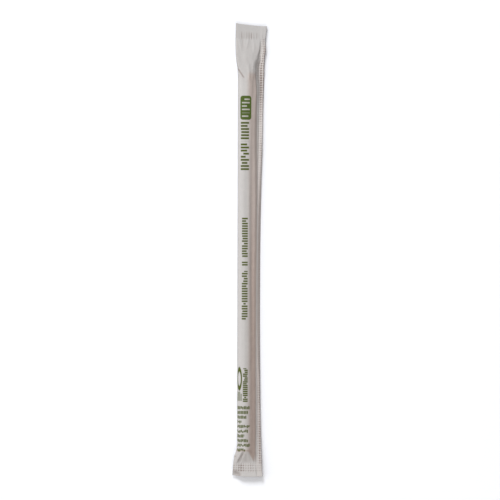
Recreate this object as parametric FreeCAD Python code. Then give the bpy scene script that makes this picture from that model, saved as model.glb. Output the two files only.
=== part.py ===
"""A drinking straw in its sealed paper wrapper, lying on a table as it comes to rest.

The wrapper is one web of thin paper. It is folded in half round the straw, so that the fold runs
along the left side. Its two free edges are pressed together as a knurled fin down the right side,
and both ends are pressed flat and knurled. Nothing opens and nothing shows through the paper, so
the sealed pack is one solid.

All sizes are in millimetres. X runs across the pack towards the fin, Y runs along it towards the
upper end, and Z is up from the table. The origin is on the table, under the middle of the pack.
A place along the pack, called s below, is measured from the lower end. A place across it is
measured from the straw's axis, towards the fin.
"""

import FreeCAD, Part
import math
import os

Vector = FreeCAD.Vector

# The straw and the paper web. The gaps are from the straw's ends to the ends of the pack. The flat
# spot is where the straw's weight beds the paper on the table.
straw_length = 197.0
straw_diameter = 6.0
paper_thickness = 0.06
flat_width = 16.4
lower_gap = 14.0
upper_gap = 24.0
flat_spot_depth = 0.04

# The fin. Next to the pack it is level, and its outer part leans down, so that in the middle its free
# edge clears the table by a hair. Each lean run is the length over which the lean builds up from a
# flat seal.
seam_width = 3.4
seam_level_width = 1.2
fin_clearance = 0.02
sealed_thickness = 0.2
lower_root_reach = 7.1
upper_root_reach = 8.1
fin_lean = 68.0
lower_lean_run = 65.0
upper_lean_run = 85.0

# The flat ends. The paper is knurled over the seal and plain in the margin at the cut. Each end is
# cut a little aslant, and it lies a little above the table.
lower_margin = 2.3
lower_seal_length = 4.5
lower_fold_reach = 5.1
lower_end_height = 2.1
lower_slant = 0.03
upper_margin = 3.9
upper_seal_length = 3.4
upper_fold_reach = 4.35
upper_end_height = 2.0
upper_slant = 0.09

# Between the straw and a seal the paper folds to a flat facet, which starts at a point on the
# straw's rim and ends this far inside the pack's two edges. Small pleats stand on it.
facet_margin = 3.1
facet_tip = 0.3
pleat_width = 0.9
pleat_height = 0.3
pleat_sink = 0.03

# The knurling, and how deep the pieces of the pack run into each other.
knurl_pitch = 1.3
knurl_height = 0.1
overlap = 0.3

# The upper sheet sags from the straw to a ridge beside the fin, and drops from there to the root.
# Towards the straw's upper end the seal runs in, so the fin is wider there and the ridge is higher.
ridge_inset = 1.2
ridge_rise = 1.5
pinch_depth = 2.0
pinch_lift = 0.5
straw_span_count = 10
end_span_count = 3

# The sheets between the straw and the fin, as shares of the way across and of the drop.
crown_share = 0.5
sag_share = 0.35
sag_rise = 0.25
round_share = 0.5523

wrapped_radius = straw_diameter / 2 + paper_thickness
straw_start = lower_gap
straw_end = straw_start + straw_length
pack_length = straw_end + upper_gap
pinch_run = straw_length / straw_span_count
body_start = lower_margin + lower_seal_length
body_end = pack_length - upper_margin - upper_seal_length
half_sheet = sealed_thickness / 2
half_knurled = half_sheet + knurl_height / 2
half_root = half_sheet + 0.75 * knurl_height
free_width = seam_width - seam_level_width
straw_axis_x = (lower_fold_reach + upper_fold_reach - flat_width) / 2


def mixed(first, second, share):
    """The value that lies the given share of the way from the first to the second."""
    return first + (second - first) * share


def built_up(share):
    """A share from 0 to 1, quick at first and then slow."""
    return math.sin(math.pi / 2 * min(max(share, 0.0), 1.0))


def at_end(s, lower, upper):
    """The value for the end that s is nearer to."""
    return lower if s < pack_length / 2 else upper


def flatness(s):
    """0 along the straw, rising to 1 where the paper is sealed flat."""
    lower = (straw_start - s) / (straw_start - body_start)
    upper = (s - straw_end) / (body_end - straw_end)
    return min(max(lower, upper, 0.0), 1.0)


def lean(s):
    """The angle of the fin's outer part below the level."""
    share = built_up((s - body_start) / lower_lean_run) * built_up((body_end - s) / upper_lean_run)
    return math.radians(fin_lean) * share


def pinch(s):
    """How far the seal runs in at s."""
    share = min(max(1.0 - (straw_end - s) / pinch_run, 0.0), 1.0)
    return pinch_depth * share * (1.0 - flatness(s))


def root(s):
    """Where the two sheets meet at the fin: its place across the pack, and its height."""
    along = (s - straw_start) / straw_length
    open_reach = mixed(lower_root_reach, upper_root_reach, built_up(along) ** 3)
    full_lean = math.radians(fin_lean)
    open_height = fin_clearance + free_width * math.sin(full_lean) + half_knurled * math.cos(full_lean)
    sealed_reach = flat_width - seam_width - at_end(s, lower_fold_reach, upper_fold_reach)
    sealed_height = at_end(s, lower_end_height, upper_end_height)
    flat = flatness(s)
    return mixed(open_reach, sealed_reach, flat) - pinch(s), mixed(open_height, sealed_height, flat)


def fold(s):
    """Where the fold lies across the pack."""
    return -mixed(wrapped_radius, at_end(s, lower_fold_reach, upper_fold_reach), flatness(s))


def facet(s):
    """Where the level top starts and ends across the pack: the straw's crown, then a facet."""
    flat = flatness(s)
    return mixed(0.0, fold(s) + facet_margin, flat), mixed(facet_tip, root(s)[0] - facet_margin, flat)


def levels(s):
    """The heights of the underside, the fold and the level top."""
    flat = flatness(s)
    middle = mixed(wrapped_radius - flat_spot_depth, at_end(s, lower_end_height, upper_end_height), flat)
    half_height = mixed(wrapped_radius, half_root, flat)
    return middle - half_height, middle, middle + half_height


def placed(s, across, height):
    """A point of the pack."""
    slant = at_end(s, lower_slant, upper_slant) * flatness(s)
    return Vector(straw_axis_x + across, s - pack_length / 2 - slant * (across + straw_axis_x), height)


def curve(s, points):
    """A straight edge through two points, or a smooth one drawn by four."""
    poles = [placed(s, across, height) for across, height in points]
    if len(poles) == 2:
        return Part.makeLine(poles[0], poles[1])
    bezier = Part.BezierCurve()
    bezier.setPoles(poles)
    return bezier.toShape()


def section(s):
    """The closed outline of the pack at s, from the foot round the fold and the crown to the root."""
    flat = flatness(s)
    reach, root_height = root(s)
    bottom, middle, top = levels(s)
    left = fold(s)
    foot, crown_end = facet(s)
    root_top = root_height + half_root
    root_bottom = root_height - half_root
    ridge = reach - ridge_inset
    ridge_top = root_top + mixed(ridge_rise, 0.0, flat) + pinch_lift * pinch(s)
    over = ridge - crown_end
    under = reach - foot
    fold_handle = mixed(foot, left, round_share)
    fold_rise = round_share * (top - middle)
    edges = [
        [(foot, bottom), (fold_handle, bottom), (left, middle - fold_rise), (left, middle)],
        [(left, middle), (left, middle + fold_rise), (fold_handle, top), (foot, top)],
        [(foot, top), (crown_end, top)],
        [(crown_end, top), (crown_end + crown_share * over, top),
         (ridge - sag_share * over, mixed(ridge_top, top, sag_rise)), (ridge, ridge_top)],
        [(ridge, ridge_top), (reach, root_top)],
        [(reach, root_top), (reach, root_bottom)],
        [(reach, root_bottom), (reach - sag_share * under, mixed(root_bottom, bottom, sag_rise)),
         (foot + crown_share * under, bottom), (foot, bottom)],
    ]
    return Part.Wire([curve(s, points) for points in edges])


def filled_body():
    """The paper round the straw, and its facets down to the seals."""
    stations = [body_start - overlap]
    stations += [mixed(body_start, straw_start, i / end_span_count) for i in range(end_span_count)]
    stations += [mixed(straw_start, straw_end, i / straw_span_count) for i in range(straw_span_count)]
    stations += [mixed(straw_end, body_end, i / end_span_count) for i in range(end_span_count + 1)]
    stations.append(body_end + overlap)
    return Part.makeLoft([section(s) for s in stations], True, True)


def fin():
    """The two sheets pressed into one ribbon, with a ridge across it at every half pitch."""
    start = body_start - overlap
    end = body_end + overlap
    ridges = round((end - start) / knurl_pitch)
    rings = []
    for i in range(2 * ridges + 1):
        s = mixed(start, end, i / (2 * ridges))
        plain = i in (0, 2 * ridges)
        wave = 0.0 if plain else knurl_height / 2 * (-1) ** i
        angle = lean(s)
        reach, height = root(s)
        bend = (reach + seam_level_width + pinch(s), height)
        free_edge = (bend[0] + free_width * math.cos(angle), height - free_width * math.sin(angle))
        line = [((reach - overlap / 2, height), 0.0), (bend, angle / 2), (free_edge, angle)]
        sides = []
        for side in (half_sheet, -half_sheet):
            offset = wave + side
            sides.append([placed(s, across + offset * math.sin(turn), up + offset * math.cos(turn))
                          for (across, up), turn in line])
        loop = sides[0] + sides[1][::-1]
        rings.append(Part.makePolygon(loop + loop[:1]))
    return Part.makeLoft(rings, True, True)


def end_seal(inner, outer, seal_length, fold_reach, height, bump):
    """A flat end, from its inner line to its cut. bump gives the paper's rise at a column and row."""
    columns = 2 * round(flat_width / knurl_pitch)
    rows = 2 * round(seal_length / knurl_pitch)
    towards = 1 if outer > inner else -1
    lines = [(inner + towards * seal_length * row / rows, row) for row in range(rows + 1)]
    lines.append((outer, rows))
    rings = []
    for s, row in lines:
        sides = []
        for side in (half_sheet, -half_sheet):
            sides.append([])
            for column in range(columns + 1):
                rise = 0.0 if row in (0, rows) else knurl_height / 2 * bump(column, row)
                across = flat_width * column / columns - fold_reach
                sides[-1].append(placed(s, across, height + side + rise))
        loop = sides[0] + sides[1][::-1]
        rings.append(Part.makePolygon(loop + loop[:1]))
    return Part.makeLoft(rings, True, True)


def waffle(column, row):
    return (-1) ** (column + row)


def ribs(column, row):
    return (-1) ** column


def pleat(seal, rim, start, end):
    """A low ridge on a facet, narrowed to a point at both ends.

    Its ends are given as shares of the way from the seal to the rim, and from the fold's side of
    the facet to the other.
    """
    places = []
    for along, beside in (start, end):
        s = mixed(seal, rim, along)
        places.append((s, mixed(*facet(s), beside)))
    middle = [mixed(first, second, 0.5) for first, second in zip(*places)]
    run = (places[1][0] - places[0][0], places[1][1] - places[0][1])
    step = pleat_width / 2 / math.hypot(*run)
    beside_ridge = [(middle[0] + side * step * run[1], middle[1] - side * step * run[0]) for side in (1, -1)]
    ring = [placed(s, across, levels(s)[2] - pleat_sink)
            for s, across in (places[0], beside_ridge[0], places[1], beside_ridge[1])]
    faces = []
    for height in (pleat_height, -pleat_height):
        crest = placed(*middle, levels(middle[0])[2] + height)
        for first, second in zip(ring, ring[1:] + ring[:1]):
            faces.append(Part.Face(Part.makePolygon([first, second, crest, first])))
    return Part.Solid(Part.Shell(faces))


def pleats():
    """The pleats at both ends, fanned out from the seals."""
    lower = [((0.08, 0.05), (0.72, 0.2)), ((0.08, 0.92), (0.72, 0.8))]
    upper = [((0.04, 0.1), (0.34, 0.25)), ((0.04, 0.32), (0.4, 0.42)), ((0.04, 0.72), (0.36, 0.62)),
             ((0.42, 0.5), (0.92, 0.75))]
    return [pleat(body_start, straw_start, *ends) for ends in lower] + \
        [pleat(body_end, straw_end, *ends) for ends in upper]


def wrapped_straw():
    lower_end = end_seal(body_start, 0.0, lower_seal_length, lower_fold_reach, lower_end_height, waffle)
    upper_end = end_seal(body_end, pack_length, upper_seal_length, upper_fold_reach, upper_end_height, ribs)
    pack = filled_body().fuse([fin(), lower_end, upper_end] + pleats())
    depth = 2 * straw_diameter
    corner = Vector(-flat_width, -pack_length, -depth)
    under_table = Part.makeBox(2 * flat_width, 2 * pack_length, depth, corner)
    return pack.cut(under_table)


os.makedirs("parts", exist_ok=True)
wrapped_straw().exportStep("parts/wrapped_straw.step")
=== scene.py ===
# %% [markdown]
# A straw in its sealed paper wrapper
#
# The object is a drinking straw in a wrapper made of one web of thin paper. The web is folded in
# half round the straw, its two free edges are pressed together down one side, and both ends are
# pressed flat. Everything that shows is that one sheet, so the whole lesson is about making a flat
# grid of faces behave like paper: round over the straw, flat and knurled where it is sealed, and
# creased in between.

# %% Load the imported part
import math

import bmesh
import bpy
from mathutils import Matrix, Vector, noise


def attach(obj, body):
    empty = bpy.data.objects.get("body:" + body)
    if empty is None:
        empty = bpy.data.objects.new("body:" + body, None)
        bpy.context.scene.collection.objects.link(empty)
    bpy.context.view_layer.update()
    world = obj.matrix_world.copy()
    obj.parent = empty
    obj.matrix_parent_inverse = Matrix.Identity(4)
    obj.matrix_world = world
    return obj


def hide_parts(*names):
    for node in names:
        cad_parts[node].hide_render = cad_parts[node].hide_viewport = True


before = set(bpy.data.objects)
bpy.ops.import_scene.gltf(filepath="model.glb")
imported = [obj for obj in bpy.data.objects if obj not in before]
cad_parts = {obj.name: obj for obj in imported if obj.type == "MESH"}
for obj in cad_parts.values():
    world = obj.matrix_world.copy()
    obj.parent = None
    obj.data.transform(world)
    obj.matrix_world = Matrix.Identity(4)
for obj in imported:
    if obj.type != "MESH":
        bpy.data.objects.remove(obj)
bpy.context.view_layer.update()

# %% [markdown]
# The sizes of the pack
#
# The real sheet has few sizes: how wide it is when folded flat, how long it is, where the straw
# lies in it, and how wide the pressed seam is. They are written in millimetres, as the paper maker
# would, and turned to metres only when a point is placed. The knurling's pitch also sets the grid,
# because a bump needs four faces to rise and fall. A place along the pack, s, is measured from its
# lower end, and a place across it from the straw's axis.

# %% Sizes
MM = 0.001
knurl_pitch = 1.26
cell = knurl_pitch / 4
pillow_cells = 40
seam_cells = 12
columns = pillow_cells + seam_cells
pack_length = 235.0
rows = round(pack_length / cell)
straw_start = 14.0
straw_end = 211.0
wrapped_radius = 3.06
straw_axis_x = -3.475
lower_seal = 6.8
upper_seal = 227.7
lower_end_height = 2.25
lower_curl = 0.65
upper_end_height = 1.7
upper_sink = 0.85
half_sheet = 0.08
lower_margin = 2.3
upper_margin = 3.9
seam_knurl = 0.16
end_knurl = 0.14
seam_lift = math.radians(8)
print("grid:", columns, "by", rows, "cells of", round(cell, 3), "mm")

# %% [markdown]
# The camera, the lamps and the table
#
# The photograph looks straight at the middle of the pack from far away, so the camera hangs high
# over it with a narrow angle. It is turned by a hair, as the pack is in the picture. The key lamp
# stands beyond the upper end and throws the shadow that shows below the lower one. A wide lamp on
# the left gives the round paper its light side and its dark side, and a fill from below evens out
# what slopes towards the lower end. The table is plain, and it is painted lighter only for the
# camera, so that it keeps the pack's shadow and sends no extra light up.

# %% Camera
picture_pixels = 500
mm_per_pixel = 0.52
camera_height = 1.3
scale_height = 3.0
picture_middle = 0.24
picture_turn = 0.15
camera_data = bpy.data.cameras.new("camera")
camera = bpy.data.objects.new("camera", camera_data)
bpy.context.collection.objects.link(camera)
camera.location = (0, picture_middle * MM, camera_height)
camera.rotation_euler = (0, 0, math.radians(picture_turn))
half_view = picture_pixels * mm_per_pixel * MM / 2
camera_data.angle = 2 * math.atan(half_view / (camera_height - scale_height * MM))
camera_data.clip_start = 0.01
bpy.context.scene.camera = camera
print("camera angle:", round(math.degrees(camera_data.angle), 2), "degrees")

# %% Lamps


def area_lamp(name, place, size, power, colour):
    """A square soft lamp that points at the pack."""
    data = bpy.data.lights.new(name, "AREA")
    data.size = size
    data.energy = power
    data.color = colour
    lamp = bpy.data.objects.new(name, data)
    bpy.context.collection.objects.link(lamp)
    lamp.location = place
    lamp.rotation_euler = Vector(place).to_track_quat("Z", "Y").to_euler()
    return lamp


key_lamp = area_lamp("key_lamp", (-0.6, 2.4, 2.0), 1.3, 76.0, (0.98, 0.99, 1.0))
side_lamp = area_lamp("side_lamp", (-2.2, 0.2, 1.6), 2.4, 27.0, (0.99, 0.99, 1.0))
fill_lamp = area_lamp("fill_lamp", (0.2, -2.2, 1.5), 1.6, 27.0, (1.0, 0.99, 0.98))
room_colour = (1.0, 0.94, 0.90, 1)
room_strength = 0.2
world = bpy.data.worlds.new("room")
world.use_nodes = True
background = world.node_tree.nodes["Background"]
background.inputs["Color"].default_value = room_colour
background.inputs["Strength"].default_value = room_strength
bpy.context.scene.world = world
bpy.context.scene.view_settings.view_transform = "Standard"
print("lamps:", key_lamp.name, side_lamp.name, fill_lamp.name)

# %% [markdown]
# Shader maths that reads like maths
#
# A shader is a graph of nodes, and a formula made of Math nodes is hard to read as a graph. One
# small class wraps a socket and teaches it Python's operators, so that a mask is written as an
# expression and the nodes add themselves. Any other node comes from one method, node.

# %% The socket wrapper


class Value:
    """A number that varies over a surface. Its operators add Math nodes."""

    def __init__(self, shader, socket):
        self.shader = shader
        self.socket = socket

    def apply(self, operation, *operands):
        return self.shader.node("ShaderNodeMath", {"operation": operation}, dict(enumerate(operands)))

    def __add__(self, other):
        return self.apply("ADD", self, other)

    def __sub__(self, other):
        return self.apply("SUBTRACT", self, other)

    def __rsub__(self, other):
        return self.apply("SUBTRACT", other, self)

    def __mul__(self, other):
        return self.apply("MULTIPLY", self, other)

    def __truediv__(self, other):
        return self.apply("DIVIDE", self, other)

    __radd__ = __add__
    __rmul__ = __mul__

    def root(self):
        return self.apply("SQRT", self)

    def fraction(self):
        return self.apply("FRACT", self)

    def size(self):
        return self.apply("ABSOLUTE", self)

    def most(self, other):
        return self.apply("MAXIMUM", self, other)

    def least(self, other):
        return self.apply("MINIMUM", self, other)

    def clamped(self):
        return self.most(0.0).least(1.0)


class Shader:
    """A material's node tree, and the one method that adds a node to it."""

    def __init__(self, name):
        self.material = bpy.data.materials.new(name)
        self.material.use_nodes = True
        self.tree = self.material.node_tree
        self.tree.nodes.clear()

    def node(self, kind, settings=None, inputs=None, output=0):
        made = self.tree.nodes.new(kind)
        for key, setting in (settings or {}).items():
            setattr(made, key, setting)
        for key, source in (inputs or {}).items():
            if isinstance(source, Value):
                self.tree.links.new(source.socket, made.inputs[key])
            else:
                made.inputs[key].default_value = source
        return Value(self, made.outputs[output]) if made.outputs else None


# %% [markdown]
# The table
#
# A plain pale board under the pack. The camera sees it in a lighter paint, light enough for white
# where no shadow falls. Every other ray sees the pale board itself.

# %% Table
board_colour = (0.80, 0.81, 0.84, 1)
light_board_colour = (1.03, 1.05, 1.09, 1)
table_half_size = 3.0
table_shader = Shader("pale_table")
board = table_shader.node("ShaderNodeBsdfDiffuse", inputs={"Color": board_colour})
light_board = table_shader.node("ShaderNodeBsdfDiffuse", inputs={"Color": light_board_colour})
camera_ray = table_shader.node("ShaderNodeLightPath", output="Is Camera Ray")
glossy_ray = table_shader.node("ShaderNodeLightPath", output="Is Glossy Ray")
seen_board = table_shader.node(
    "ShaderNodeMixShader", inputs={0: camera_ray.most(glossy_ray), 1: board, 2: light_board})
table_shader.node("ShaderNodeOutputMaterial", inputs={"Surface": seen_board})

table_mesh = bpy.data.meshes.new("table")
table_form = bmesh.new()
bmesh.ops.create_grid(table_form, x_segments=1, y_segments=1, size=table_half_size)
table_form.to_mesh(table_mesh)
table_form.free()
table_mesh.materials.append(table_shader.material)
table = bpy.data.objects.new("table", table_mesh)
bpy.context.collection.objects.link(table)
print("table:", [round(side, 2) for side in table.dimensions], "m")

# %% [markdown]
# How the pack changes along its length
#
# Nothing about the real pack is quite constant. The fold leaves the straw at both ends, the seam
# leans over in the middle and lies flat at the ends, and the paper is loose in one place and tight
# in another. Each such size is a track: a few places along the pack with the size there, joined by
# one smooth curve. Drawing a whole outline by hand for every few millimetres would be the other
# way, but a change in one size would then mean redrawing them all.

# %% Tracks


def mixed(first, second, share):
    return first + (second - first) * share


def eased(share):
    """A share from 0 to 1, slow at both ends."""
    share = min(max(share, 0.0), 1.0)
    return share * share * (3.0 - 2.0 * share)


def hermite(start, end, leaving, arriving, t):
    """A curve from start to end, whose slopes there are given."""
    rise = (2 * t**3 - 3 * t**2 + 1) * start + (3 * t**2 - 2 * t**3) * end
    return rise + (t**3 - 2 * t**2 + t) * leaving + (t**3 - t**2) * arriving


def track(*marks):
    """A smooth curve through marks, each a place and the size there."""

    def slope(index):
        before = marks[max(index - 1, 0)]
        after = marks[min(index + 1, len(marks) - 1)]
        return (after[1] - before[1]) / (after[0] - before[0])

    def size_at(s):
        if s <= marks[0][0]:
            return marks[0][1]
        for index in range(len(marks) - 1):
            start, end = marks[index], marks[index + 1]
            if s <= end[0]:
                span = end[0] - start[0]
                leaving, arriving = span * slope(index), span * slope(index + 1)
                return hermite(start[1], end[1], leaving, arriving, (s - start[0]) / span)
        return marks[-1][1]

    return size_at


fold_reach = track(
    (0, 5.5), (3.3, 5.25), (8.5, 4.8), (10.6, 4.5), (12.7, 3.7), (14.8, 3.2), (18.9, 3.07), (40, 3.06),
    (205, 3.06), (211, 3.14), (214.5, 3.66), (218.6, 4.14), (224.9, 4.37), (230, 4.3), (235, 4.25))
edge_reach = track(
    (0, 10.3), (3.3, 10.0), (8.5, 9.75), (13.7, 9.5), (24.1, 9.15), (39.7, 8.85), (65.7, 8.75),
    (91.7, 8.7), (117.7, 8.75), (143.7, 9.0), (169.7, 9.6), (190.5, 9.9), (201, 10.2), (211.3, 10.55),
    (216.5, 10.6), (220.7, 11.0), (224.9, 10.85), (230.1, 11.5), (235, 12.05))
root_reach = track(
    (0, 7.5), (6.8, 7.1), (14, 7.0), (24, 7.1), (60, 7.15), (86, 7.2), (118, 7.4), (144, 7.45),
    (160, 7.45), (175, 7.1), (190, 6.95), (197, 6.85), (202, 6.8), (207, 6.4), (211, 6.4), (214.5, 6.8),
    (216.4, 7.7), (219, 8.1), (222.4, 8.6), (227.7, 8.7), (235, 8.6))
root_height = track(
    (0, 2.7), (6.8, 2.25), (14, 1.9), (24, 1.6), (60, 1.8), (86, 1.9), (117, 2.0), (144, 1.9), (160, 1.75),
    (175, 1.9), (190, 2.1), (197, 2.35), (202, 2.5), (211, 2.5), (214.5, 2.3), (217, 1.9), (221, 1.5),
    (227, 1.25), (235, 0.85))
drop_width = track(
    (6.8, 0.0), (12, 0.6), (45, 0.6), (65, 0.0), (155, 0.0), (175, 1.0), (190, 1.6), (197, 2.0), (202, 2.3),
    (207, 2.3), (214.5, 1.7), (217, 0.9), (221, 0.0))
seam_width = track(
    (0, 2.85), (6.8, 2.8), (13.7, 2.65), (24, 2.35), (40, 2.2), (60, 2.35), (105, 2.5), (144, 2.4),
    (160, 2.5), (175, 3.0), (190, 3.45), (197, 3.85), (202, 4.25), (207, 4.85), (214.5, 4.2), (217, 2.95),
    (221, 2.92), (227.7, 2.55), (235, 3.5))
level_width = track(
    (0, 2.7), (6.8, 2.65), (14, 2.1), (24, 1.4), (40, 0.9), (60, 0.5), (86, 0.15), (118, 0.15), (144, 0.7),
    (160, 1.1), (175, 1.4), (190, 1.45), (197, 1.55), (202, 1.65), (207, 2.15), (214.5, 2.25), (217, 1.85),
    (221, 2.78), (227.7, 2.35), (235, 3.25))
print("fold to seam edge at the middle:", round(fold_reach(117) + edge_reach(117), 2), "mm")

# %% [markdown]
# The outline across the pack
#
# Cut across, the pack is a drop: the paper hugs the straw on the fold's side, leaves it near the
# top, sags a little, and drops at a ridge to the root, the line where the upper and lower sheets
# meet. From the root the two sheets run on together as the seam. Near the upper end it first drops
# steeply. Then it lies level, and its free edge leans down. The upper sheet passes through a few
# knots, whose places are tracks too. A knot has a softness: at 1 the sheet runs smoothly through
# it, and at a low value it is a crease. Between the straw's end and the seal every knot moves in a
# straight line to its place in the flat seal, which is how real paper folds down: in flat facets
# with creases between them.

# %% Outline of the filled part
foot = track((0, -2.0), (6.8, -1.4), (10.5, 0.2), (14, 1.2), (18, 0.0), (204, 0.0), (211, -1.0),
             (214.5, -2.7), (219, -3.3), (227.7, -3.9), (235, -3.9))
crown_end = track((0, 4.6), (6.8, 4.2), (14, 2.2), (18, 1.4), (24, 1.2), (86, 0.9), (118, 0.8), (144, 0.4),
                  (175, 0.8), (193, 1.5), (201, 2.7), (207, 3.2), (211, 3.4), (219, 4.3), (227.7, 6.2),
                  (235, 6.5))
shoulder = (
    track((0, 5.8), (6.8, 5.6), (14, 3.4), (24, 3.3), (86, 3.3), (118, 3.1), (144, 3.0), (175, 3.3),
          (193, 3.7), (201, 4.4), (207, 4.7), (211, 4.7), (219, 5.5), (227.7, 7.2), (235, 7.3)),
    track((14, 5.5), (24, 5.35), (86, 5.25), (118, 5.35), (144, 5.5), (175, 5.5), (201, 5.6), (211, 5.7)),
    track((14, 0.7), (24, 0.7), (118, 0.6), (144, 0.4), (175, 0.6), (201, 0.8), (211, 0.8)))
sag = (
    track((0, 6.3), (6.8, 6.0), (14, 4.8), (24, 4.8), (60, 4.7), (105, 4.3), (118, 4.4), (144, 4.4),
          (175, 4.6), (201, 4.9), (207, 4.9), (211, 4.9), (219, 6.4), (227.7, 7.6), (235, 7.8)),
    track((14, 4.1), (24, 4.05), (60, 3.95), (86, 3.9), (105, 3.85), (118, 4.05), (144, 4.4), (175, 4.75),
          (201, 5.15), (211, 5.4)),
    track((14, 1.0), (211, 1.0)))
ridge = (
    track((0, 6.9), (6.8, 6.6), (14, 6.2), (24, 6.2), (60, 6.0), (105, 5.7), (118, 5.9), (144, 6.2),
          (175, 5.8), (190, 6.1), (197, 6.4), (202, 6.4), (207, 6.0), (211, 5.8), (214.5, 5.9),
          (216.4, 6.5), (219, 7.2), (222.4, 8.1), (227.7, 8.4), (235, 8.3)),
    track((14, 3.0), (24, 3.0), (60, 3.1), (86, 3.45), (105, 3.6), (118, 3.75), (144, 4.0), (175, 4.2),
          (201, 4.5), (211, 4.9)),
    track((14, 0.9), (60, 0.9), (105, 0.6), (144, 0.4), (175, 0.8), (190, 0.6), (202, 0.3), (211, 0.3)))


lower_bend = 0.12
upper_bend = 0.08


def softened(share, bend):
    """A share held between 0 and 1, whose turns at both are rounded over the bend."""
    if share > 0.5:
        return 1.0 - softened(1.0 - share, bend)
    if share > bend:
        return share
    return max(share + bend, 0.0) ** 2 / (4 * bend)


def flatness(s):
    """0 along the straw, rising to 1 where the paper is sealed flat."""
    lower = softened((straw_start - s) / (straw_start - lower_seal), lower_bend)
    upper = softened((s - straw_end) / (upper_seal - straw_end), upper_bend)
    return max(lower, upper)


def end_height(s):
    """The lower end curls up a little towards its cut, and the upper one sinks."""
    if s < pack_length / 2:
        return lower_end_height + lower_curl * eased(1.0 - (s - 2.0) / 6.5)
    return upper_end_height - upper_sink * eased((s - 218.0) / 17.0)


drop_steepness = 0.13
drop_turn = 0.6
level_turn = 0.8


def seam_line(s):
    """The seam's middle line as across, rise and slope, from the root to its free edge."""
    width, drop = seam_width(s), drop_width(s)
    level = drop + level_width(s)
    steep = math.acos(min(1.0, 1.0 - drop_steepness * drop))
    shown = edge_reach(s) - root_reach(s) - drop * math.cos(steep)
    lean = math.acos(min(max((shown - level + drop) / (width - level), 0.0), 1.0))

    def angle_at(distance):
        start = -seam_lift
        if drop:
            start = mixed(steep, -seam_lift, eased((distance - drop) / drop_turn + 0.5))
        return mixed(start, lean, eased((distance - level) / level_turn + 0.5))

    step = width / seam_cells
    across, rise = 0.0, 0.0
    line = [(0.0, 0.0, angle_at(0.0))]
    for index in range(seam_cells):
        angle = angle_at((index + 0.5) * step)
        across += step * math.cos(angle)
        rise -= step * math.sin(angle)
        line.append((across, rise, angle_at((index + 1) * step)))
    return line


def quarter(left, middle, last, height, steps=14):
    """A quarter of an ellipse, from half a step above the fold's tip to the crown or the foot."""
    points = []
    for index in range(steps + 1):
        angle = math.pi / 2 * mixed(0.5 / steps, 1.0, index / steps)
        points.append((last - (last - left) * math.cos(angle), middle + (height - middle) * math.sin(angle)))
    return points


def through(knots, steps=8):
    """A line through knots, each across, height and softness. It leaves the first one level."""

    def slope(index, reach, axis):
        if index == 0:
            return reach * (1.0, 0.0)[axis]
        before, after = knots[index - 1], knots[min(index + 1, len(knots) - 1)]
        run = math.dist(before[:2], knots[index][:2]) + math.dist(knots[index][:2], after[:2])
        return reach * knots[index][2] * (after[axis] - before[axis]) / run

    points = []
    for index in range(len(knots) - 1):
        start, end = knots[index], knots[index + 1]
        reach = math.dist(start[:2], end[:2])
        for step in range(1, steps + 1):
            points.append(tuple(hermite(start[axis], end[axis], slope(index, reach, axis),
                                        slope(index + 1, reach, axis), step / steps) for axis in (0, 1)))
    return points


def spread(points, count):
    """Evenly spaced points along a line, and the line's length."""
    lengths = [0.0]
    for before, after in zip(points, points[1:]):
        lengths.append(lengths[-1] + math.dist(before, after))
    even = []
    index = 0
    for number in range(count + 1):
        wanted = lengths[-1] * number / count
        while index < len(points) - 2 and lengths[index + 1] < wanted:
            index += 1
        share = min((wanted - lengths[index]) / max(lengths[index + 1] - lengths[index], 1e-9), 1.0)
        even.append(tuple(mixed(points[index][axis], points[index + 1][axis], share) for axis in (0, 1)))
    return even, lengths[-1]


under_bend_reach = 3.2
under_bend_height = 0.15


def outline(s):
    """The upper and the lower sheet at s, from the fold to the seam's edge.

    Each point is its place across, its height and how far it is from the fold along the web.
    """
    flat = flatness(s)
    along_straw = min(max(s, straw_start), straw_end)
    left, root, height = -fold_reach(s), root_reach(s), root_height(s)
    sealed_top, sealed_bottom = end_height(s) + half_sheet, end_height(s) - half_sheet
    middle = mixed(wrapped_radius, end_height(s), flat)
    top = mixed(2 * wrapped_radius, sealed_top, flat)
    bottom = mixed(0.0, sealed_bottom, flat)
    knots = [(foot(s), top, 1.0), (crown_end(s), top, 1.0)]
    for reach, rise, softness in (shoulder, sag, ridge):
        knots.append((reach(s), mixed(rise(along_straw), sealed_top, flat), softness(along_straw)))
    knots.append((root, height + half_sheet, 1.0))
    upper = quarter(left, middle, knots[0][0], top) + through(knots)
    under_foot = mixed(0.0, foot(s), flat)
    bend_across = mixed(under_bend_reach, mixed(under_foot, root, 0.5), flat)
    bend_height = mixed(under_bend_height, bottom, flat)
    under = [(under_foot, bottom, 1.0), (bend_across, bend_height, 1.0), (root, height - half_sheet, 1.0)]
    lower = quarter(left, middle, under_foot, bottom) + through(under)
    sheets = []
    for points, side in ((upper, 1), (lower, -1)):
        even, width = spread(points, pillow_cells)
        places = [(across, rise, width * index / pillow_cells) for index, (across, rise) in enumerate(even)]
        for index, (across, rise, angle) in enumerate(seam_line(s)[1:], 1):
            offset = half_sheet * side
            places.append((root + across + offset * math.sin(angle), height + rise + offset * math.cos(angle),
                           width + seam_width(s) * index / seam_cells))
        sheets.append(places)
    return sheets


middle_sheet = outline(117)[0]
print("web from fold to edge at the middle:", round(middle_sheet[-1][2], 2), "mm")

# %% [markdown]
# Knurling
#
# The seams were pressed between two toothed wheels, so both sheets rise and fall together. That is
# a real shape, not only a pattern, and it shows at the pack's edge as small scallops. It follows
# the grid: a full wave takes four rows or four columns. The lower end is a waffle, the upper end
# is ribbed along the pack, and the seam has rows of dots. Where the paper is pressed hardest it
# also turns a little clear and dark, so the amount is kept for the material. Near the upper end the
# seam also gets painted shade, which is added to that amount.

# %% Knurl heights


def wave(index):
    return math.cos(math.pi / 2 * index)


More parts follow.
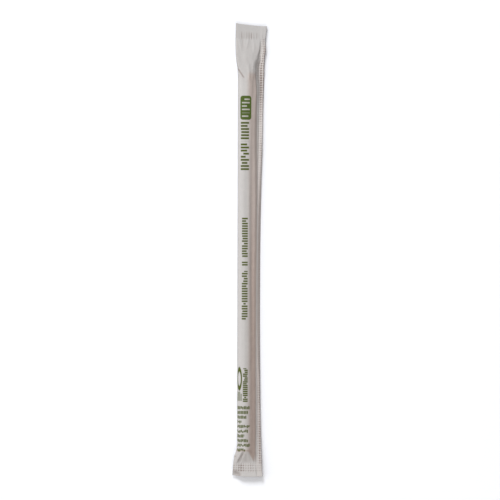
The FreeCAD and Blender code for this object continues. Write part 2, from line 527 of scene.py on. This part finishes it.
def band(s, start, end, soft):
    """1 between start and end, easing to 0 outside."""
    return eased((s - start) / soft + 0.5) * eased((end - s) / soft + 0.5)


seam_softness = 1.0
waffle_softness = 0.6
rib_softness = 2.0
rib_share = 0.6
hard_share = 0.8


def knurl(row, column, s, across):
    """How far both sheets rise at a point of the grid, and how hard they are squeezed there, with painted
    shade on the seam near the upper end.
    """
    over, along = wave(column), wave(row)
    waffle = band(s, lower_margin, lower_seal, waffle_softness) * waffle_clear(across)
    ribs = band(s, upper_seal, pack_length - upper_margin, rib_softness) * rib_clear(across)
    hard = 1.0 + hard_share * noise.noise(Vector((column / 9.0, row / 40.0, 9.0)))
    uneven = 0.35 + 2.0 * abs(noise.noise(Vector((column / 3.0, 0.0, 2.0))))
    rise = end_knurl * (waffle * (over + along) / 2 + ribs * uneven * over)
    pressed_and_shade = waffle * (1 - over) * (1 - along) / 4 + ribs * uneven * rib_share * (1 - over) / 2
    if column > pillow_cells:
        seam = band(s, lower_seal, upper_seal, seam_softness)
        outer = mixed(0.5, 1.7, eased(((column - pillow_cells) / seam_cells - 0.45) / 0.2))
        seam_over = wave(column - pillow_cells + 2)
        clear = seam_clear(s)
        rise += seam_knurl * seam * clear * (0.6 * along + 0.4 * seam_over)
        # Near the upper end the seam also gets painted shade, added to the same amount as the dots.
        pressed_and_shade += seam * (outer * clear * (1 - along) * (1 - seam_over) / 4 + upper_seam_painted_shade(s))
    return hard * rise, hard * pressed_and_shade


waffle_clear = track((-4, 1.25), (2, 1.15), (6, 0.7), (10, 0.6))
rib_clear = track((-4.3, 0.3), (-2.5, 0.9), (5.0, 1.0), (7.0, 0.35), (12.0, 0.35))
# Painted shade on the seam near the upper end, where it lies beside the straw.
upper_seam_painted_shade = track((190, 0.0), (200, 0.12), (222, 0.12), (228, 0.0))
seam_clear = track((0, 1.0), (35, 1.0), (60, 0.5), (90, 0.25), (150, 0.3), (170, 0.8), (190, 1.0), (235, 1.0))
print("waves across a flat end:", columns / 4)

# %% [markdown]
# Creases
#
# Paper that has been folded down and handled keeps small ridges and valleys. Each is a short line
# on the pack with a width, a height and a shade, faded out at both ends. They lift or sink the
# upper sheet like a thumbnail run along it, and both sheets of the seam. The shade is for a fold
# too tight for the grid, which hides its own bottom. A little unevenness goes over all that isn't
# held by the straw, because no sheet stays perfectly smooth.

# %% Creases
creases = [
    ((-0.7, 12.9), (-3.2, 7.4), 0.55, 0.5, 0.0),
    ((0.5, 12.6), (-2.2, 7.6), 0.65, -0.3, 0.2),
    ((0.3, 12.2), (-0.9, 10.0), 0.4, 0.0, 0.25),
    ((2.0, 13.4), (-0.9, 6.6), 0.5, 0.12, 0.0),
    ((2.2, 13.4), (2.0, 7.5), 0.7, -0.12, 0.1),
    ((2.2, 13.6), (4.0, 6.6), 0.6, 0.2, 0.0),
    ((5.0, 11.5), (5.3, 6.4), 0.35, 0.15, 0.0),
    ((6.6, 12.8), (6.8, 7.0), 0.45, 0.0, 0.45),
    ((-4.6, 2.4), (-1.0, 0.6), 1.0, -0.1, 0.5),
    ((-4.6, 10.7), (-3.7, 10.2), 0.3, -0.1, 0.7),
    ((-3.0, 211.8), (0.1, 207.2), 0.32, -0.25, 0.9),
    ((-3.4, 210.6), (-0.5, 206.0), 0.5, 0.12, 0.0),
    ((0.6, 219.0), (3.6, 205.0), 0.9, 0.15, 0.0),
    ((2.6, 214.5), (2.9, 206.0), 0.5, 0.25, 0.0),
    ((5.0, 216.0), (4.9, 206.5), 0.5, 0.25, 0.0),
    ((-3.6, 220.0), (0.2, 210.5), 0.5, 0.12, 0.0),
    ((-3.5, 226.4), (-3.4, 222.4), 0.3, 0.25, 0.0),
    ((-2.6, 228.0), (-1.2, 221.5), 0.4, 0.22, 0.0),
    ((-0.6, 228.0), (-0.2, 223.0), 0.4, -0.15, 0.15),
    ((2.6, 228.2), (1.2, 222.0), 0.45, 0.2, 0.0),
    ((4.9, 228.5), (5.4, 221.0), 0.5, 0.2, 0.0),
    ((9.6, 232.0), (9.6, 214.0), 0.35, 0.16, 0.0),
    ((10.9, 224.0), (10.7, 217.5), 0.3, 0.0, 0.5),
    ((3.0, 150.0), (3.1, 128.0), 0.4, 0.08, 0.0),
    ((2.2, 176.0), (3.4, 164.0), 0.5, 0.07, 0.0),
    ((4.4, 60.0), (3.2, 48.0), 0.7, -0.12, 0.0),
    ((4.8, 34.0), (4.4, 18.0), 0.5, 0.14, 0.0),
]


crease_fade = 0.35
crease_tail = 3


def creased(across, s):
    """How far the creases lift a point, and how much painted shade they leave on it."""
    rise, shade = 0.0, 0.0
    for start, end, width, height, crease_shade_amount in creases:
        run = (end[0] - start[0], end[1] - start[1])
        length = math.hypot(*run)
        share = ((across - start[0]) * run[0] + (s - start[1]) * run[1]) / length**2
        if -0.2 < share < 1.2:
            beside = ((across - start[0]) * run[1] - (s - start[1]) * run[0]) / length
            if abs(beside) < crease_tail * width:
                shape = band(share, 0.0, 1.0, crease_fade) * math.exp(-((beside / width) ** 2))
                rise += height * shape
                shade += crease_shade_amount * shape
    return rise, shade


def behind(across, height, s, other_height):
    """The gap between the upper sheet and what backs it: the straw or the lower sheet."""
    gap = height - other_height - 2 * half_sheet
    if straw_start < s < straw_end:
        gap = min(gap, math.hypot(across, height - wrapped_radius) - wrapped_radius)
    return gap


def shaded(across, s):
    """Share of the painted gap shade: 1 along the straw. Past its ends the sheets lie close and pale, except
    beside the seam.
    """
    past_straw = eased(max((straw_start - s) * 2.0, s - straw_end + 3.0, 0.0) / 3.0)
    beside_seam = eased(across - 2.0 - 0.5 * (straw_start - s)) if s < pack_length / 2 else 0.0
    return mixed(1.0, 0.1 + 0.9 * beside_seam, past_straw)


# How much of the painted gap shade shows along the pack.
gap_shade_along = track((20, 1.0), (100, 0.95), (150, 0.7), (200, 0.7))
# Painted shade on the seam beside the straw, drawn in the darker, warmer gap shade colours.
seam_warm_painted_shade = track(
    (0, 0.1), (24, 0.2), (40, 0.35), (60, 0.5), (150, 0.5), (175, 0.15), (190, 0.0))
# Painted light on the level seam near the upper end.
seam_light_along = track((140, 0.0), (170, 0.7), (185, 1.0), (216, 1.0), (228, 0.0))


def seam_painted_light(column, s):
    """Painted light: 1 where the seam lies level near the upper end, whose double paper is given a lighter
    colour.
    """
    distance = (column - pillow_cells) * seam_width(s) / seam_cells
    return seam_light_along(s) * eased((distance - drop_width(s)) / 0.5 + 0.3)


broad_slack = 0.10
fine_slack = 0.05


def unevenness(across, s, loose):
    """How far loose paper rises and falls by itself."""
    broad = noise.noise(Vector((across / 3.0, s / 9.0, 0.0)))
    fine = noise.noise(Vector((across, s / 3.0, 5.0)))
    return loose * (broad_slack * broad + fine_slack * fine)


print("creases:", len(creases))

# %% [markdown]
# The paper
#
# A grid of faces is the flat web. Solidify gives it its second sheet, one face thick at the fold,
# the seam's edge and the two cuts, and then every vertex is carried to its place on the folded
# pack. The grid's own row and column say which place that is, so the sheet can't tear.

# %% Shape of the sheet


def cut_shift(s, across):
    """The two cuts aren't square: the upper one rises to the fold, and the lower one is bowed."""
    share = (across + fold_reach(s)) / (edge_reach(s) + fold_reach(s))
    upper = eased((s - 224.0) / 11.0) * (1.0 - 3.0 * share + 1.3 * share**2)
    lower = eased(1.0 - s / 8.0) * (0.48 - 2.4 * share + 1.9 * share**2)
    return upper + lower


corner_drop = 1.6
corner_length = 3.6
corner_width = 4.5
open_gap = 1.6
loose_gap = 1.0


def corner_droop(across, s):
    """How far the lower end's left corner has curled down."""
    return corner_drop * eased(1.0 - s / corner_length) * eased((0.2 - across) / corner_width)


def placed(row, column, side, sheets):
    """A vertex's place in metres, its place in the flat web, and the paper's state there.

    The state is how hard it was squeezed plus painted crease and seam shade, the painted shade of the gap
    under it, and the painted light on the seam.
    """
    s = pack_length * row / rows
    across, height, web = sheets[0 if side > 0 else 1][column]
    rise, pressed_and_shade = knurl(row, column, s, across)
    gap = max(behind(across, sheets[0][column][1], s, sheets[1][column][1]), 0.0)
    crease, shade = creased(across, s)
    # The creases' painted shade is added to the dark dots' amount.
    pressed_and_shade += shade
    if side > 0 or column >= pillow_cells - 1:
        rise += crease
    if side > 0:
        height += unevenness(across, s, eased(gap / loose_gap))
    height = max(height + rise - corner_droop(across, s), 0.0)
    # Painted shade where the paper spans a gap; on the seam columns, the seam's painted shade.
    gap_shade = eased(gap / open_gap) * shaded(across, s) * gap_shade_along(s)
    if column > pillow_cells:
        gap_shade = seam_warm_painted_shade(s)
    along = s - pack_length / 2 + cut_shift(s, across)
    place = Vector((straw_axis_x + across, along, height)) * MM
    return place, (web * side, s), (pressed_and_shade, gap_shade, seam_painted_light(column, s))


paper_form = bmesh.new()
bmesh.ops.create_grid(paper_form, x_segments=columns, y_segments=rows, size=0.5)
thin = 0.1
bmesh.ops.solidify(paper_form, geom=paper_form.faces[:], thickness=thin)
levels = sorted({round(vertex.co.z, 4) for vertex in paper_form.verts})
print("grid:", len(paper_form.verts), "vertices,", len(paper_form.faces), "faces, levels", levels)

dent_and_shade_layer = paper_form.verts.layers.float.new("pressed_and_shade")
gap_shade_layer = paper_form.verts.layers.float.new("gap_shade")
seam_painted_light_layer = paper_form.verts.layers.float.new("seam_painted_light")
by_row = {}
for vertex in paper_form.verts:
    column = round((vertex.co.x + 0.5) * columns)
    row = round((vertex.co.y + 0.5) * rows)
    by_row.setdefault(row, []).append((vertex, column, 1 if vertex.co.z > sum(levels) / 2 else -1))
web_places = {}
for row, members in by_row.items():
    sheets = outline(pack_length * row / rows)
    for vertex, column, side in members:
        vertex.co, web_places[vertex.index], state = placed(row, column, side, sheets)
        vertex[dent_and_shade_layer], vertex[gap_shade_layer], vertex[seam_painted_light_layer] = state

web_layer = paper_form.loops.layers.uv.new("web")
for face in paper_form.faces:
    face.smooth = True
    for loop in face.loops:
        loop[web_layer].uv = web_places[loop.vert.index]
bmesh.ops.recalc_face_normals(paper_form, faces=paper_form.faces[:])
paper_mesh = bpy.data.meshes.new("paper_wrapper")
paper_form.to_mesh(paper_mesh)
paper_form.free()
paper = bpy.data.objects.new("paper_wrapper", paper_mesh)
bpy.context.collection.objects.link(paper)
print("paper:", [round(side / MM, 2) for side in paper.dimensions], "mm")

# %% [markdown]
# The print
#
# The print is one ink on the flat web, so it is drawn in the web's own places: how far from the
# fold, and how far along. Everything is made of plain bars. A row of print is a row of cells, each
# with a bar whose length is picked by a random number for that cell, and a bar is left out here and
# there. That gives the rhythm of a line of type and says nothing.

# %% Print masks
paper_shader = Shader("wrapping_paper")
web = paper_shader.node("ShaderNodeUVMap", {"uv_map": "web"})
web_parts = paper_shader.node("ShaderNodeSeparateXYZ", inputs={0: web})
from_fold = web_parts
along_pack = Value(paper_shader, web_parts.socket.node.outputs[1])


def within(value, low, high, soft=0.25):
    """1 where a value is between low and high, with soft edges."""
    return ((value - low) / soft + 0.5).clamped() * ((high - value) / soft + 0.5).clamped()


def random_in(cell_number, seed):
    """A random share for each whole number."""
    return paper_shader.node("ShaderNodeTexWhiteNoise", {"noise_dimensions": "1D"}, {"W": cell_number + seed})


edge_softness = 0.3
missing_share = 0.02


def row_of_bars(along, beside, start, end, low, high, pitch, seed, weight):
    """A row of bars from start to end, between low and high, in cells of the pitch."""
    cells = (along - start) / pitch
    number = cells - cells.fraction()
    pick = random_in(number, seed)
    second_pick = random_in(number, seed + 71.3)
    bar = within(cells.fraction(), 0.5 - weight / 2, 0.5 + weight / 2, edge_softness / pitch)
    short_low = low + (second_pick - 0.7).most(0.0) * ((high - low) * 1.4)
    short_high = high - (pick - 0.65).most(0.0) * ((high - low) * 1.3)
    length = within(beside, short_low, short_high, edge_softness)
    shown = (pick / missing_share).clamped()
    return bar * length * shown * within(along, start, end)


corner_radius = 1.4
block_middle = (5.75, 191.55)
block_half = (2.95, 6.25)
block_across = ((from_fold - block_middle[0]).size() - (block_half[0] - corner_radius)).most(0.0)
block_along = ((along_pack - block_middle[1]).size() - (block_half[1] - corner_radius)).most(0.0)
block_distance = (block_across * block_across + block_along * block_along).root()
block = ((corner_radius - block_distance) / 0.25 + 0.5).clamped()
block_lines = row_of_bars(along_pack, from_fold, 186.3, 196.8, 3.7, 7.8, 1.75, 3.0, weight=0.4)
big_row = row_of_bars(along_pack, from_fold, 158.9, 184.6, 3.1, 7.5, 1.6, 11.0, weight=0.62)
middle_row = row_of_bars(along_pack, from_fold, 113.9, 134.6, 3.9, 7.0, 1.3, 23.0, weight=0.64)
middle_row += row_of_bars(along_pack, from_fold, 109.4, 111.7, 3.9, 7.0, 1.3, 31.0, weight=0.64)
middle_row += row_of_bars(along_pack, from_fold, 81.4, 106.9, 3.9, 7.0, 1.3, 37.0, weight=0.64)
low_row = row_of_bars(along_pack, from_fold, 38.8, 56.4, 4.6, 7.2, 1.0, 41.0, weight=0.75)
badge_across = (from_fold - 2.6) * 2.0
badge_along = (along_pack - 50.9) * 0.5
badge_distance = (badge_across * badge_across + badge_along * badge_along).root()
badge = within(badge_distance, 1.8, 3.1, 0.4)
badge += row_of_bars(from_fold, along_pack, 1.1, 4.1, 39.4, 44.2, 0.75, 47.0, weight=0.55)
paragraph_start = 12.7
line_pitch = 2.44
line_half = 0.85
line_ends = (5.9, 8.6, 7.5, 5.4, 7.4, 8.5, 3.9, 6.5, 7.5, 8.5)
paragraph = 0.0
for number, line_end in enumerate(line_ends):
    middle = paragraph_start + (number + 0.5) * line_pitch
    paragraph = paragraph + row_of_bars(
        from_fold, along_pack, 1.0, line_end, middle - line_half, middle + line_half, 0.8,
        53.0 + 5 * number, weight=0.78)
ink = (block * (1.0 - 0.85 * block_lines) + big_row + middle_row + low_row + badge + paragraph).clamped()
print("print nodes:", len(paper_shader.tree.nodes))

# %% [markdown]
# The paper's finish
#
# Thin uncoated paper is matt and slightly uneven: fibres make it lighter and darker in patches of
# less than a millimetre. It is also thin enough to let the white straw show through where it
# touches. Where it spans empty space its colour is painted darker and warmer, as painted shade of
# the gap behind it, and the flat upper end gets a little painted shade too. Near the upper end the
# seam lies level, and there its double paper is painted lighter than the rest: painted light.

# %% Paper material
plain_dark, plain_light = (0.535, 0.515, 0.505, 1), (0.61, 0.595, 0.58, 1)
gap_shade_dark, gap_shade_light = (0.41, 0.325, 0.285, 1), (0.49, 0.40, 0.355, 1)
upper_end_painted_shade = (0.90, 0.905, 0.91, 1)
painted_light_colour = (0.76, 0.725, 0.70, 1)
dent_and_shade_colour = (0.25, 0.19, 0.17, 1)
row_ink, block_ink = (0.08, 0.1, 0.013, 1), (0.076, 0.115, 0.02, 1)
fibres = paper_shader.node(
    "ShaderNodeTexNoise", inputs={"Vector": web, "Scale": 1.6, "Detail": 4.0, "Roughness": 0.6})
patches = paper_shader.node("ShaderNodeTexNoise", inputs={"Vector": web, "Scale": 0.3, "Detail": 2.0})
gap_shade = paper_shader.node("ShaderNodeAttribute", {"attribute_name": "gap_shade"}, output="Fac")
pressed_and_shade = paper_shader.node("ShaderNodeAttribute", {"attribute_name": "pressed_and_shade"}, output="Fac")
seam_painted_light_share = paper_shader.node("ShaderNodeAttribute", {"attribute_name": "seam_painted_light"}, output="Fac")


def blend(share, first, second, mode="MIX"):
    return paper_shader.node("ShaderNodeMix", {"data_type": "RGBA", "blend_type": mode},
                             {0: share, 6: first, 7: second}, output=2)


mottle = (0.5 + (fibres - 0.5) * 0.9 + (patches - 0.5) * 0.8).clamped()
backed_colour = blend(mottle, plain_dark, plain_light)
# Painted shade of the gap behind the thin paper: darker and warmer.
gap_shade_colour = blend(mottle, gap_shade_dark, gap_shade_light)
# Painted shade: the flat upper end is made a little darker.
upper_end_shade_share = ((along_pack - straw_end + 4.0) / 6.0).clamped()
solid_colour = blend(upper_end_shade_share, backed_colour, upper_end_painted_shade, "MULTIPLY")
before_seam_light_colour = blend(gap_shade, solid_colour, gap_shade_colour)
# Painted light: the level seam near the upper end is made lighter.
plain_colour = blend(seam_painted_light_share, before_seam_light_colour, painted_light_colour)
# Dark dots where the paper is squeezed, plus painted shade from the creases and the seam.
dent_and_shade_mix = blend((pressed_and_shade * 0.9).clamped(), plain_colour, dent_and_shade_colour)
ink_colour = blend(block, row_ink, block_ink)
paper_colour = blend(ink, dent_and_shade_mix, ink_colour)
bump = paper_shader.node(
    "ShaderNodeBump", inputs={"Strength": 0.3, "Distance": 0.03 * MM, "Height": fibres})
skin = paper_shader.node("ShaderNodeBsdfPrincipled", inputs={
    "Base Color": paper_colour, "Roughness": 0.8, "Specular IOR Level": 0.3, "Normal": bump})
paper_shader.node("ShaderNodeOutputMaterial", inputs={"Surface": skin})
paper_mesh.materials.append(paper_shader.material)

# %% [markdown]
# Handing over
#
# The paper rides on the part's one body and stands for its one solid. The size of both is kept, so
# that the dressed part can be compared with the real sizes.

# %% Hand over
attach(paper, "root")
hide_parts("wrapped_straw")
